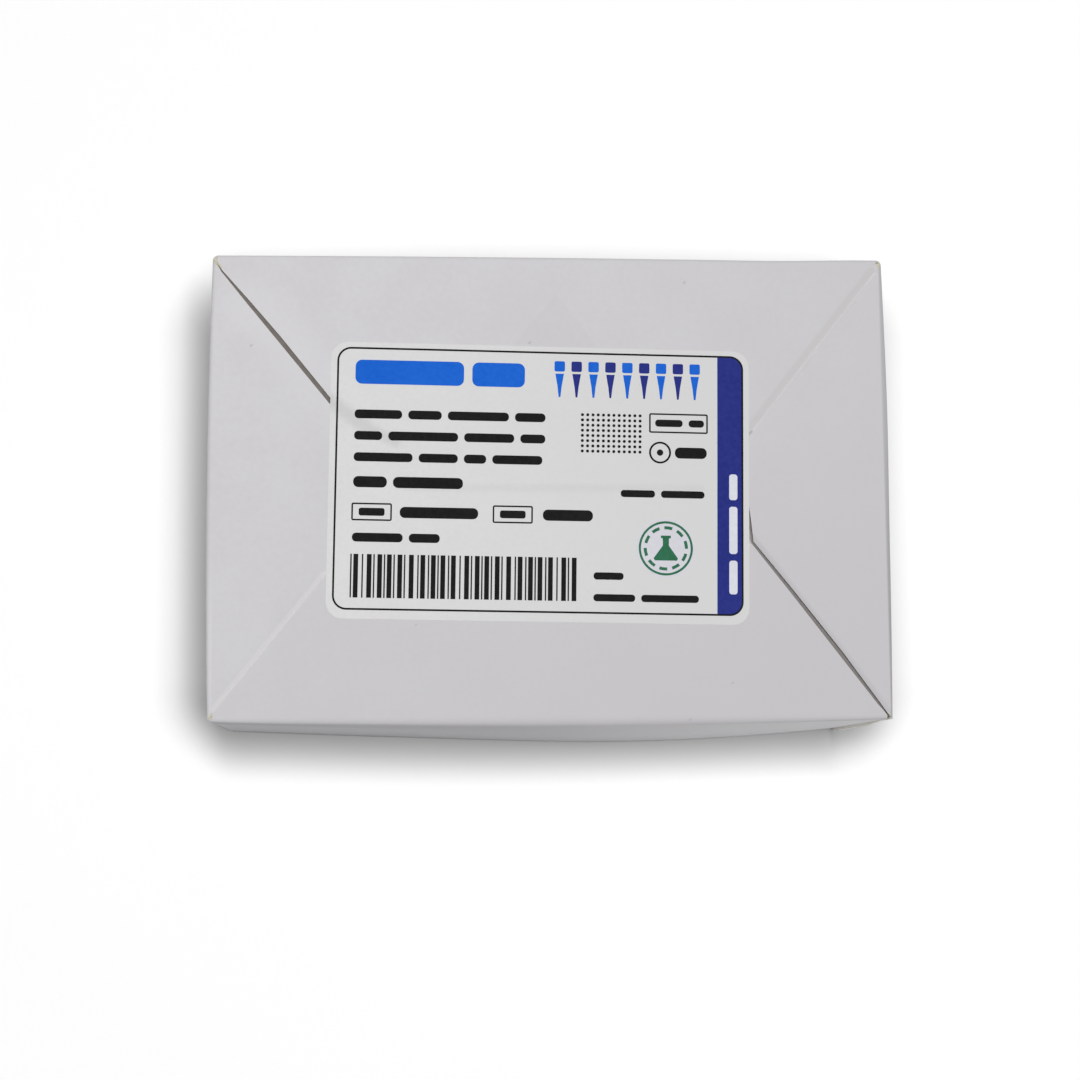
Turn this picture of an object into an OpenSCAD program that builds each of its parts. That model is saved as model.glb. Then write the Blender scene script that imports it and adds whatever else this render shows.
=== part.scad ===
// Box of pipette tips: a lift-off carton lid over a carton base. The base carries a
// moulded deck, and the deck carries ninety-six filter tips in twelve columns of eight.
// Millimetres, +Z up, origin at the middle of the footprint on the bench.
// The long side runs along X and the front faces -Y.

/* [Carton] */
// Outside length of the lid
lid_w = 122; // [120:1:130]
// Outside depth of the lid
lid_d = 84; // [82:1:92]
// Height of the closed box
lid_h = 50; // [49:1:60]
// Thickness of the coated board
board = 0.45; // [0.4:0.05:0.5]
// Radius of the upright corner creases
corner_r = 1; // [0.9:0.1:1.2]
// Radius of the corner where the wall tube is glued shut
joint_r = 0.3; // [0.1:0.1:0.5]
// Radius of the creases round the closed end
crease_r = 0.8; // [0.6:0.1:0.8]
// How far the long walls bow out at the free rim
long_bow = 2.2; // [0.6:0.1:3]
// How far the short walls bow out at the free rim
short_bow = 1; // [0.4:0.1:1.5]
// How far the front crease bows out, as the closed end pushes on it
front_crease_bow = 1.2; // [0:0.1:1.5]
// How far the other creases of the closed end bow out
crease_bow = 0.6; // [0:0.1:1]
// Height of the free rim above the bench
rim_z = 0.4; // [0.2:0.1:1]
// Play between the lid's walls and the base, on each side
lid_play = 0.8; // [0.75:0.05:0.9]
// Width of the glue laps that close the two wall tubes
lap_w = 12; // [8:1:15]

/* [Closure flaps] */
// Width of the open slits where they are widest
slit_w = 0.9; // [0.5:0.1:1.1]
// Gap of the middle seam between the two long flaps
seam_w = 0.3; // [0.2:0.1:0.5]
// Width of the pressed score lines
score_w = 0.3; // [0.2:0.05:0.4]
// Depth of the pressed score lines
score_depth = 0.15; // [0.1:0.05:0.2]

/* [Label] */
// Width of the paper label
label_w = 76; // [60:1:80]
// Depth of the paper label
label_d = 50; // [40:1:54]
// Corner radius of the label
label_r = 3; // [2:0.1:5]
// Thickness of the label with its adhesive
label_t = 0.12; // [0.1:0.01:0.2]
// Sideways shift of the label from the middle of the lid
label_x = -2; // [-4:0.5:4]
// Shift of the label towards the back
label_y = 0.5; // [-2:0.5:2]
// Turn of the label, as it was stuck on by hand
label_turn = -1; // [-3:0.5:3]

/* [Deck] */
// Height of the deck's top face above the bench
deck_z = 37; // [36:0.5:38]
// Thickness of the deck plate
deck_t = 1.2; // [1:0.1:1.6]
// Depth of the skirt that drops inside the base
skirt_h = 9; // [6:1:12]
// Thickness of the skirt and the ribs
rib_t = 1; // [0.8:0.1:1.2]
// Bore of the tip holes
hole_d = 4.6; // [4.5:0.05:4.8]
// Spacing of the tips, the same both ways
pitch = 9; // [9:1:9]

/* [Tips] */
// Length of one tip
tip_l = 31; // [30:0.5:32]
// Outside diameter of the ribbed hub
hub_d = 5.5; // [5.2:0.1:5.8]
// Outside diameter at the small end
point_d = 0.8; // [0.7:0.1:1]
// Diameter of the filter plug
filter_d = 3; // [2.8:0.1:3]

/* [Hidden] */
COLUMNS = 12;
ROWS = 8;
function numbered(name, n) = str(name, n < 10 ? "_0" : "_", n);
$fn = 48;

base_w = lid_w - 2 * (board + lid_play);
base_d = lid_d - 2 * (board + lid_play);
collar_h = 0.8;
collar_d = 6.6;
skirt_play = 0.25; // between the skirt and the glue lap of the base
tip_seat = 6.8; // hub length above the deck's collars
tip_top = deck_z + collar_h + tip_seat;

// ---- Carton board -------------------------------------------------------------------

function turned(points, a) = [
  for (p = points) [p[0] * cos(a) - p[1] * sin(a), p[0] * sin(a) + p[1] * cos(a)]
];

// One wall side that faces -Y, from corner to corner, swelled by bow at its middle.
function bowed_side(from, to, offset, bow, steps) = [
  for (i = [0:steps])
    let (t = i / steps)
      [from + (to - from) * t, -offset - 4 * bow * t * (1 - t)]
];

// The corner arc that follows it, without its two end points.
function corner_arc(x, y, r) = [
  for (a = [22.5, 45, 67.5]) [x + r * sin(a), y - r * cos(a)]
];

// Outline of the lid's walls at one level. inset shrinks it. free runs from 0 at the
// closed end to 1 at the rim, and swells each side from its crease bow to its rim bow.
function outline(inset, free) =
  let (
    half_w = lid_w / 2 - inset,
    half_d = lid_d / 2 - inset,
    r = max(corner_r - inset, 0.05),
    r_joint = max(joint_r - inset, 0.05),
    front = front_crease_bow + free * (long_bow - front_crease_bow),
    rear = crease_bow + free * (long_bow - crease_bow),
    side = crease_bow + free * (short_bow - crease_bow)
  )
  concat(
    bowed_side(-half_w + r, half_w - r_joint, half_d, front, 16),
    corner_arc(half_w - r_joint, -half_d + r_joint, r_joint),
    turned(bowed_side(-half_d + r_joint, half_d - r, half_w, side, 12), 90),
    turned(corner_arc(half_d - r, -half_w + r, r), 90),
    turned(bowed_side(-half_w + r, half_w - r, half_d, rear, 16), 180),
    turned(corner_arc(half_w - r, -half_d + r, r), 180),
    turned(bowed_side(-half_d + r, half_d - r, half_w, side, 12), 270),
    turned(corner_arc(half_d - r, -half_w + r, r), 270)
  );
function at_z(points, z) = [for (p = points) [p[0], p[1], z]];

// How free the wall is at height z: 0 at the closed end, 1 at the rim.
crease_z = lid_h - crease_r;
function freedom(z) = sin(90 * (crease_z - z) / (crease_z - rim_z));

// A closed skin through a list of rings that all have the same number of points. The last
// ring joins the first.
module ring_loft(rings) {
  count = len(rings[0]);
  polyhedron(
    points = [for (ring = rings) each ring],
    faces = [
      for (r = [0:len(rings) - 1], i = [0:count - 1])
        let (a = r * count, b = ((r + 1) % len(rings)) * count, j = (i + 1) % count)
          each [[a + i, b + i, b + j], [a + i, b + j, a + j]]
    ]
  );
}

// The four walls of the lid, with the rounded crease that turns them into the top.
module bowed_walls() {
  inner_r = crease_r - board;
  wall_z = [for (k = [0:7]) rim_z + (crease_z - rim_z) * k / 7];
  crease_a = [for (k = [1:4]) 90 * k / 4];
  function skin(inset, r) = concat(
    [for (z = wall_z) at_z(outline(inset, freedom(z)), z)],
    [for (a = crease_a) at_z(outline(inset + r * (1 - cos(a)), 0), crease_z + r * sin(a))]
  );
  inside = skin(board, inner_r);
  ring_loft(concat(skin(0, crease_r), [for (k = [len(inside) - 1:-1:0]) inside[k]]));
}

// Glue lap of the front wall: a strip of board on the inner side of the right wall.
module lid_lap() {
  low = rim_z + 1;
  high = crease_z - 2;
  levels = [for (k = [0:4]) low + (high - low) * k / 4];
  intersection() {
    ring_loft(concat(
      [for (z = levels) at_z(outline(board - 0.02, freedom(z)), z)],
      [for (k = [4:-1:0]) at_z(outline(2 * board, freedom(levels[k])), levels[k])]
    ));
    translate([lid_w / 2 - 3, -lid_d / 2 + board, 0])
      cube([6, lap_w, lid_h]);
  }
}

// Lines of the folded closure, seen from outside, as fractions of its length and depth.
// One cut runs from the rear left corner over the middle seam to the front right corner
// and parts the two glued pairs of flaps. Each pair has one score, from its own corner.
CUT = [
  [-0.5, 0.5], [-0.325, 0.182], [-0.275, 0.127], [-0.231, 0.095], [-0.225, 0],
  [0.23, 0], [0.249, -0.034], [0.296, -0.04], [0.301, -0.12], [0.5, -0.5]
];
CUT_WIDTH = [
  slit_w / 3, slit_w, slit_w / 2, seam_w, seam_w,
  seam_w, seam_w, slit_w / 2, slit_w, slit_w / 3
];
FRONT_SCORE = [[-0.49, -0.475], [-0.333, -0.19], [-0.275, -0.042], [-0.235, -0.012]];
REAR_SCORE = [[0.49, 0.475], [0.301, 0.126], [0.246, 0.08], [0.212, 0.012]];

// A line with a width at each of its points, as a polygon.
module ribbon(line, widths) {
  last = len(line) - 1;
  function heading(i) = line[min(i + 1, last)] - line[max(i - 1, 0)];
  function sideways(i) = [-heading(i)[1], heading(i)[0]] * widths[i] / 2 / norm(heading(i));
  polygon(concat(
    [for (i = [0:last]) line[i] + sideways(i)],
    [for (i = [last:-1:0]) line[i] - sideways(i)]
  ));
}

// Board under the outer layer, in three places: the glued triangle beside a score, the
// tongue that bridges the rear left slit, and the hook that locks the middle seam.
module glued_triangle(w, d, mirrored) {
  score = mirrored ? -REAR_SCORE : FRONT_SCORE;
  polygon([
    [-0.46 * w, -0.44 * d], [score[1][0] * w, score[1][1] * d],
    [score[2][0] * w, score[2][1] * d], [-0.17 * w, -0.2 * d],
    [-0.27 * w, -0.44 * d], [-0.42 * w, -0.46 * d]
  ]);
}
module tongue(w, d) {
  polygon([
    [-0.47 * w, 0.4 * d], [-0.43 * w, 0.46 * d], [-0.26 * w, 0.22 * d],
    [-0.19 * w, 0.08 * d], [-0.24 * w, -0.02 * d], [-0.34 * w, 0.02 * d],
    [-0.39 * w, 0.16 * d]
  ]);
}
module seam_hook(w, d) {
  polygon([
    [-0.2 * w, -0.09 * d], [0.16 * w, -0.09 * d], [0.2 * w, 0.02 * d],
    [0.13 * w, 0.1 * d], [-0.2 * w, 0.1 * d]
  ]);
}

// The whole closed end of a carton. Its outer face is at z = 0 and the board lies below.
// The child is its outline.
module closed_end(w, d) {
  function placed(line) = [for (p = line) [p[0] * w, p[1] * d]];
  difference() {
    union() {
      translate([0, 0, -board])
        linear_extrude(board)
          children(0);
      translate([0, 0, -2 * board])
        linear_extrude(board) {
          glued_triangle(w, d, false);
          rotate(180) glued_triangle(w, d, true);
          tongue(w, d);
          rotate(180) tongue(w, d);
          seam_hook(w, d);
        }
    }
    translate([0, 0, -board])
      linear_extrude(2 * board)
        ribbon(placed(CUT), CUT_WIDTH);
    for (score = [FRONT_SCORE, REAR_SCORE])
      translate([0, 0, -score_depth])
        linear_extrude(2 * score_depth)
          ribbon(placed(score), [for (p = score) score_w]);
  }
}

// Rectangle with rounded corners, centred.
module round_rect(w, d, r) {
  square([w - 2 * r, d], center = true);
  square([w, d - 2 * r], center = true);
  for (x = [-1, 1], y = [-1, 1])
    translate([x * (w / 2 - r), y * (d / 2 - r)])
      circle(r);
}

module lid_carton() {
  color("whitesmoke") {
    bowed_walls();
    lid_lap();
    translate([0, 0, lid_h])
      closed_end(lid_w, lid_d)
        polygon(outline(crease_r, 0));
  }
}

module label() {
  color("white")
    translate([label_x, label_y, lid_h])
      rotate(label_turn)
        linear_extrude(label_t)
          round_rect(label_w, label_d, label_r);
}

// The base: straight walls, closed at the bottom by the same folding pattern, with die-cut
// windows for the deck's catches.
catch_w = 8;
catch_h = 2;
catch_z = deck_z - deck_t - 6;
catch_xs = [-36, 0, 36];
catch_ys = [-20, 20];

// Blocks along all four walls, from half a board outside the base to reach inside it.
module catch_blocks(reach, grow) {
  size = [catch_w + 2 * grow, board / 2 + reach, catch_h + 2 * grow];
  for (x = catch_xs, side = [0, 180])
    rotate(side)
      translate([x - size[0] / 2, -(base_d + board) / 2, catch_z - grow])
        cube(size);
  for (y = catch_ys, side = [90, 270])
    rotate(side)
      translate([y - size[0] / 2, -(base_w + board) / 2, catch_z - grow])
        cube(size);
}

module base_carton() {
  wall_top = deck_z - deck_t;
  color("ghostwhite") {
    difference() {
      linear_extrude(wall_top)
        difference() {
          round_rect(base_w, base_d, corner_r);
          round_rect(base_w - 2 * board, base_d - 2 * board, corner_r - board);
        }
      catch_blocks(2 * board, 0.2);
    }
    mirror([0, 0, 1])
      closed_end(base_w, base_d)
        round_rect(base_w - board, base_d - board, corner_r - board / 2);
    // Glue lap inside the left wall.
    translate([-base_w / 2 + board - 0.02, base_d / 2 - board - lap_w, 1])
      cube([board + 0.02, lap_w, catch_z - 6]);
  }
}

// ---- Deck ---------------------------------------------------------------------------

module on_grid() {
  for (c = [1:COLUMNS], r = [1:ROWS])
    translate([(c - (COLUMNS + 1) / 2) * pitch, (r - (ROWS + 1) / 2) * pitch])
      children();
}

module tip_deck() {
  skirt_w = base_w - 2 * (2 * board + skirt_play);
  skirt_d = base_d - 2 * (2 * board + skirt_play);
  plate_z = deck_z - deck_t;
  rib_h = 3;
  color("lightsteelblue")
    difference() {
      union() {
        // Plate, whose edge rests on the top edge of the base walls.
        translate([0, 0, plate_z])
          linear_extrude(deck_t)
            round_rect(base_w, base_d, corner_r);
        // Low collars that the hubs of the tips sit on.
        translate([0, 0, deck_z])
          linear_extrude(collar_h)
            on_grid()
              circle(d = collar_d);
        // Sleeves and the ribs between them.
        translate([0, 0, plate_z - rib_h])
          linear_extrude(rib_h) {
            on_grid()
              circle(d = collar_d - 0.2);
            for (r = [1:ROWS])
              translate([0, (r - (ROWS + 1) / 2) * pitch])
                square([skirt_w - rib_t, rib_t], center = true);
            for (c = [1:COLUMNS])
              translate([(c - (COLUMNS + 1) / 2) * pitch, 0])
                square([rib_t, skirt_d - rib_t], center = true);
          }
        // Skirt inside the base.
        translate([0, 0, plate_z - skirt_h])
          linear_extrude(skirt_h)
            difference() {
              round_rect(skirt_w, skirt_d, 1);
              round_rect(skirt_w - 2 * rib_t, skirt_d - 2 * rib_t, 0.5);
            }
        // Catches that click into the windows of the base.
        intersection() {
          catch_blocks(2 * board + skirt_play + rib_t / 2, 0);
          translate([0, 0, plate_z - skirt_h])
            linear_extrude(skirt_h)
              round_rect(base_w - 0.1, base_d - 0.1, corner_r);
        }
      }
      translate([0, 0, plate_z - rib_h - 1])
        linear_extrude(rib_h + deck_t + collar_h + 2)
          on_grid()
            circle(d = hole_d);
    }
}

// ---- Tips ---------------------------------------------------------------------------

hub_z = tip_l - tip_seat;
neck_r = hole_d / 2 - 0.1;
cone_z = 16; // top of the long lower cone
cone_r = 1.3;
filter_z = 18.5;
filter_l = 3.6;
mouth_r = 1.95;
mark_z = [8.5, 13.5]; // graduation rings
mark_h = 0.3;
mark_out = 0.06;

// Outer radius of the lower cone at height z.
function cone_at(z) = point_d / 2 + (cone_r - point_d / 2) * z / cone_z;

// Outer wall from the point up to the rim band, then the bore back down.
module tip_body() {
  rotate_extrude()
    polygon(concat(
      [[point_d / 4, 0], [point_d / 2, 0]],
      [for (z = mark_z) each [
        [cone_at(z), z],
        [cone_at(z) + mark_out, z + mark_h / 3],
        [cone_at(z) + mark_out, z + 2 * mark_h / 3],
        [cone_at(z + mark_h), z + mark_h]
      ]],
      [
        [cone_r, cone_z], [2, 19], [neck_r, hub_z],
        [neck_r, tip_l - 1.2], [hub_d / 2, tip_l - 1.2], [hub_d / 2, tip_l - 0.15],
        [hub_d / 2 - 0.15, tip_l], [mouth_r + 0.15, tip_l], [mouth_r, tip_l - 0.15],
        [1.65, filter_z + filter_l + 0.8], [filter_d / 2, filter_z + filter_l + 0.2],
        [filter_d / 2, filter_z], [0.85, cone_z]
      ]
    ));
}

// Six upright ribs round the hub, from the deck's collar to the rim band.
module hub_ribs() {
  rib = 0.5;
  for (a = [0:60:300])
    rotate(a)
      translate([neck_r - 0.2, -rib / 2, hub_z])
        cube([hub_d / 2 - neck_r + 0.1, rib, tip_seat - 1.1]);
}

module in_column(c) {
  for (r = [1:ROWS])
    translate([(c - (COLUMNS + 1) / 2) * pitch, (r - (ROWS + 1) / 2) * pitch, tip_top - tip_l])
      children();
}

module tips_column(c) {
  color("aliceblue", 0.6)
    in_column(c) {
      tip_body();
      hub_ribs();
    }
}

module filters_column(c) {
  color("white")
    in_column(c)
      translate([0, 0, filter_z + 0.1])
        cylinder(d = filter_d, h = filter_l);
}

lid_carton();
label();
base_carton();
tip_deck();
for (c = [1:COLUMNS]) {
  tips_column(c);
  filters_column(c);
}
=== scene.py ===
"""Looks of a box of pipette tips: a white carton with a lift-off lid, a paper label, and
the deck of filter tips inside it. Sizes in the sections are in millimetres."""

import math

import bmesh
import bpy
import numpy as np
from mathutils import Matrix, Vector


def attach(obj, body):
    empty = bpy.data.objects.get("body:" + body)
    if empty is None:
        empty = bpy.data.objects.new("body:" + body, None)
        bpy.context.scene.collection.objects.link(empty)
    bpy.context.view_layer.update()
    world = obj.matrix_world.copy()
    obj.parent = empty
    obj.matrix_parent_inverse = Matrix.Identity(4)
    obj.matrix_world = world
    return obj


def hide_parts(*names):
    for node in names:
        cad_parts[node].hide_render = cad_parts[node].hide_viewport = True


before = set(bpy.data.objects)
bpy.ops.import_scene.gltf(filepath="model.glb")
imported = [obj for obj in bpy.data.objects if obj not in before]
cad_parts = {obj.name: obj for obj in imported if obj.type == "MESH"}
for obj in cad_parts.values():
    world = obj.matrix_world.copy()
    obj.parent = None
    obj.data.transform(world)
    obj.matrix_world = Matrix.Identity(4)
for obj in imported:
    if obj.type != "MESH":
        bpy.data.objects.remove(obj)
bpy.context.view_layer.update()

# ---- Studio --------------------------------------------------------------------------
# A white bench seen almost straight from above. One long soft lamp hangs over the box,
# slantwise, and a dim room fills the shadows.

MM = 0.001

eye = Vector((-27.7, -55.8, 408.0)) * MM
target = Vector((-2.24, -9.79, 50.0)) * MM
upright = Vector((0.0075, 1, 0))  # what points up in the view: the rear, turned a little
sight = (target - eye).normalized()
across = sight.cross(upright).normalized()
camera_data = bpy.data.cameras.new("camera")
camera_data.sensor_width = 36
camera_data.lens = 67.37
camera_data.clip_start = 0.01
camera_data.clip_end = 100
camera = bpy.data.objects.new("camera", camera_data)
camera_axes = Matrix((across, across.cross(sight), -sight)).transposed().to_4x4()
camera.matrix_world = Matrix.Translation(eye) @ camera_axes
bpy.context.scene.collection.objects.link(camera)
bpy.context.scene.camera = camera
bpy.context.scene.view_settings.view_transform = "Standard"


class Shade:
    """A socket of a node tree. Arithmetic on it adds Math nodes; node() adds any other."""

    def __init__(self, tree, socket=None):
        self.tree, self.socket = tree, socket

    def node(self, kind, settings=None, sockets=None, output=0):
        """Adds a node, sets its settings, then sets or links its input sockets."""
        made = self.tree.nodes.new("ShaderNode" + kind)
        for name, value in (settings or {}).items():
            setattr(made, name, value)
        for key, value in (sockets or {}).items():
            if isinstance(value, Shade):
                self.tree.links.new(value.socket, made.inputs[key])
            else:
                made.inputs[key].default_value = value
        return Shade(self.tree, made.outputs[output]) if made.outputs else made

    def math(self, operation, *values):
        """A Math node on values, each a number or a socket."""
        return self.node("Math", {"operation": operation}, dict(enumerate(values)))

    def __add__(self, other):
        return self.math("ADD", self, other)

    def __sub__(self, other):
        return self.math("SUBTRACT", self, other)

    def __mul__(self, other):
        return self.math("MULTIPLY", self, other)

    __radd__, __rmul__ = __add__, __mul__

    def __rsub__(self, other):
        return self.math("SUBTRACT", other, self)

    def __abs__(self):
        return self.math("ABSOLUTE", self)

    def over(self, other):
        """The larger of two values."""
        return self.math("MAXIMUM", self, other)

    def under(self, other):
        """The smaller of two values."""
        return self.math("MINIMUM", self, other)

    def length(self, other):
        """Length of a line whose two parts are this value and the other."""
        square = self * self + other * other
        return square.math("SQRT", square)

    def rise(self, low, high):
        """0 below low, 1 above high, and a smooth step between them."""
        steps = {"interpolation_type": "SMOOTHSTEP"}
        return self.node("MapRange", steps, {0: self, 1: low, 2: high})

    def blend(self, first, second):
        """Colour that is first where this value is 0 and second where it is 1."""
        return self.node("Mix", {"data_type": "RGBA"}, {0: self, 6: first, 7: second}, 2)


def colour(red, green, blue):
    """Linear RGBA of a colour given as 0 to 255 in sRGB."""
    parts = np.array([red, green, blue]) / 255
    linear = np.where(parts <= 0.04045, parts / 12.92, ((parts + 0.055) / 1.055) ** 2.4)
    return (*linear.tolist(), 1)


ROOM = 0.16  # radiance of the room
LAMP = 0.84  # share of a level surface's light that comes from the lamp

# The room lights the pieces dimly, but is white to the camera, in reflections and through
# the clear tips.
world = bpy.data.worlds.new("room")
world.use_nodes = True
world.node_tree.nodes.clear()
bpy.context.scene.world = world
sky = Shade(world.node_tree)
rays = [
    sky.node("LightPath", output=f"Is {kind} Ray")
    for kind in ("Camera", "Glossy", "Transmission")
]
seen = rays[0].over(rays[1]).over(rays[2])
room = sky.node("Background", None, {"Color": (1, 1, 1, 1), "Strength": ROOM + (1 - ROOM) * seen})
sky.node("OutputWorld", None, {"Surface": room})

# The lamp's axes are its long way, its short way and its back. Its power gives a level
# surface at the middle of the lid its share of the full light: share pi^2 d^2 / cos.
hung = Vector((230, 10, 2500)) * MM
slant = Vector((-0.43, 0.9, 0))  # the lamp's long way, as seen from above
back = hung - Vector((0, 0, 50 * MM))
lamp_data = bpy.data.lights.new("lamp_overhead", "AREA")
lamp_data.shape = "ELLIPSE"
lamp_data.size, lamp_data.size_y = 1000 * MM, 350 * MM
lamp_data.energy = LAMP * math.pi**2 * back.length**3 / back.z
lamp = bpy.data.objects.new("lamp_overhead", lamp_data)
short_way = back.cross(slant).normalized()
lamp_axes = Matrix((short_way.cross(back.normalized()), short_way, back.normalized()))
lamp.matrix_world = Matrix.Translation(hung) @ lamp_axes.transposed().to_4x4()
lamp.visible_glossy = False  # no glare of it on the level surfaces
bpy.context.scene.collection.objects.link(lamp)


MERGE = 0.00005  # points of a piece that are closer than this, in mm, become one


def join_patches(name, patches, finishes):
    """Makes an object from grids of points of shape (rows, columns, 3), in mm. Each cell
    becomes a face, which looks the way of rows x columns turned right-handed: with
    columns to the right and rows upwards it faces the viewer."""
    points = np.concatenate([patch.reshape(-1, 3) for patch in patches]) * MM
    cells, first = [], 0
    for patch in patches:
        rows, columns = patch.shape[:2]
        grid = first + np.arange(rows * columns).reshape(rows, columns)
        corners = (grid[:-1, :-1], grid[:-1, 1:], grid[1:, 1:], grid[1:, :-1])
        cells.append(np.stack(corners, axis=-1).reshape(-1, 4))
        first += rows * columns
    mesh = bpy.data.meshes.new(name)
    mesh.from_pydata(points, [], np.concatenate(cells))
    shape = bmesh.new()
    shape.from_mesh(mesh)
    bmesh.ops.remove_doubles(shape, verts=shape.verts, dist=MERGE * MM)
    shape.to_mesh(mesh)
    shape.free()
    made = bpy.data.objects.new(name, mesh)
    bpy.context.scene.collection.objects.link(made)
    for finish in finishes:
        mesh.materials.append(finish)
    return made


def thicken(piece, thickness, reverse=0, rim=0, sharp=35):
    """Gives a sheet its thickness behind its face, with its reverse and its cut edges in
    the materials that many places on in its list, and shades it smooth up to sharp."""
    shell = piece.modifiers.new("thickness", "SOLIDIFY")
    shell.thickness = thickness * MM
    shell.offset = -1
    shell.use_quality_normals = True
    shell.material_offset = reverse
    shell.material_offset_rim = rim
    graph = bpy.context.evaluated_depsgraph_get()
    solid = bpy.data.meshes.new_from_object(piece.evaluated_get(graph))
    piece.modifiers.clear()
    piece.data = solid
    solid.polygons.foreach_set("use_smooth", np.ones(len(solid.polygons), bool))
    solid.set_sharp_from_angle(angle=math.radians(sharp))


def new_material(name):
    """A material with an empty tree, and a root to add its nodes from."""
    made = bpy.data.materials.new(name)
    made.use_nodes = True
    made.node_tree.nodes.clear()
    return made, Shade(made.node_tree)


def surface(root, sockets):
    """Ends a material in one Principled shader with these sockets."""
    shader = root.node("BsdfPrincipled", None, sockets)
    root.node("OutputMaterial", None, {"Surface": shader})


def object_point(root):
    """The Object coordinate, in metres."""
    return root.node("TexCoord", output="Object")


def place(root):
    """The Object coordinates x, y, z in millimetres, and the coordinate itself."""
    point = object_point(root)
    parts = [root.node("SeparateXYZ", None, {0: point}, k) * 1000 for k in range(3)]
    return *parts, point


def grey(value):
    """Linear RGBA of a grey of this value."""
    return (value, value, value, 1)


# The bench stays white to the camera where the lamp no longer reaches it, and is greyer
# close round the box, as the soft shade there is deeper than one lamp makes it.
bench_white, root = new_material("bench_white")
x, y, _, point = place(root)
past_x = (abs(x - 1) - 58).over(0)
arch = 0.0005 * (x - 5) * (x - 5)  # the shade's long sides bow out, as the rims do
past_y = ((arch - y - 36.3) * 1.12).over(arch + y - 40.2).over(0)
shade = 1 - past_x.length(past_y).rise(8, 21)
deepest = (0 - y).rise(30, 42).blend(grey(0.46), grey(0.39))
# It is deepest of all in a spot beside the front right corner.
off_spot = (abs(x - 65.2) - 2.5).over(0).length((y + 41.5) * 1.2)
by_corner = (1 - off_spot.rise(1, 9)) * x.rise(59.6, 60.9)
deepest = (by_corner * 0.8).blend(deepest, grey(0.2))
camera_ray = root.node("LightPath", output="Is Camera Ray")
spread = root.node("VectorMath", {"operation": "LENGTH"}, {0: point}, "Value")
surface(root, {
    "Base Color": shade.blend(grey(0.92), deepest),
    "Roughness": 1,
    "Specular IOR Level": 0,
    "Emission Color": (1, 1, 1, 1),
    "Emission Strength": (0.12 + 0.85 * spread.rise(0.1, 1.6)) * camera_ray,
})
BENCH = 4000
corner = np.array([-BENCH, BENCH])
level = np.stack([*np.meshgrid(corner, corner), np.zeros((2, 2))], axis=-1)
bench = join_patches("bench", [level], [bench_white])

# ---- Lid carton ----------------------------------------------------------------------
# One sheet of coated paperboard, cut, creased and folded into a tray that is glued shut
# at the front right corner. Its closed end is four interlocking flaps: two glued pairs,
# parted by one slit that runs from corner to corner, each pair with one scored fold.

LID_HALF = (61, 42)  # half the length and half the depth of the tray
LID_TOP = 50
BOARD = 0.45
CORNER = 1.0  # radius of the upright creases
RIM_Z = 0.4
BOW_TOP = LID_TOP - 1  # where a wall's bow begins
LAP_LOW, LAP_HIGH = 1.4, 47.2
LAP_FOLD = 0.6  # radius where the glue lap folds in behind the right wall
LAP_X = LID_HALF[0] - BOARD - 0.02  # outer face of the lap
LAP_WIDTH = 12
CREASE_AT_CORNER = 0.7  # radius of the crease round the closed end, at the corners

# For each wall from the front round to the left: how much wider its crease is at its
# middle, how far it bows out at its crease and at its rim, and how much more of the
# rim's bow is to its right.
WALLS = [(1.2, 1.0, 2.2, 0.45), (0.5, 0.6, 1.0, 0), (0.2, 0.3, 2.2, 0), (0.2, 0.6, 1.0, 0)]


def smooth(low, high, value):
    """0 below low, 1 above high, and 3t^2 - 2t^3 between them."""
    t = np.clip((value - low) / (high - low), 0, 1)
    return t * t * (3 - 2 * t)


def turned(turn, along, outward, height):
    """Points of wall number turn as x, y, z. along runs to the right as seen from
    outside, and outward away from the middle of the box."""
    x, y = along, -outward
    for _ in range(turn):
        x, y = -y, x
    return np.stack(np.broadcast_arrays(x, y, height), axis=-1)


def beside(x, y, start, end):
    """How far points lie to the left of the line from start to end, how far along it,
    and its length."""
    run = np.subtract(end, start)
    length = math.hypot(*run)
    u, v = run / length
    dx, dy = x - start[0], y - start[1]
    return dy * u - dx * v, dx * u + dy * v, length


# The slit as centre points with a width at each, from the rear left corner over the
# middle seam to the front right corner, and the two scores from their corners inwards.
SLIT = np.array([
    [-60.15, 40.35], [-59.3, 38.95], [-54.4, 33.15], [-49.2, 26.94], [-39.7, 15.2], [-33.6, 10.7],
    [-28.2, 8.0], [-27.45, 0], [28.1, 0], [30.4, -2.9], [35.45, -3.4], [36.15, -10.1],
    [42.95, -18.72], [51.8, -30.23], [58.4, -39.1], [59.95, -41.1],
])
SLIT_WIDTH = np.array(
    [0.04, 0.28, 0.68, 0.88, 0.78, 0.55, 0.3, 0.3, 0.3, 0.3, 0.55, 0.55, 0.7, 0.84, 0.54, 0.24]
)
SEAM = 8  # the points from this one on lie right of the middle seam
LEFT_INNER = 4  # inner end of the slit's straight run from the rear left corner
RIGHT_INNER, RIGHT_OUTER = 11, 14  # ends of its straight run to the front right corner
FRONT_SCORE = np.array([[-59.8, -39.9], [-40.6, -16.0], [-33.55, -3.5], [-28.7, -1.0]])
REAR_SCORE = np.array([[59.8, 39.9], [36.7, 10.6], [30.0, 6.7], [25.9, 1.0]])

heading = np.gradient(SLIT, axis=0)
sideways = np.stack([-heading[:, 1], heading[:, 0]], axis=1)
sideways *= (SLIT_WIDTH / 2 / np.hypot(*heading.T))[:, None]
slit_rear, slit_front = SLIT + sideways, SLIT - sideways

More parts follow.
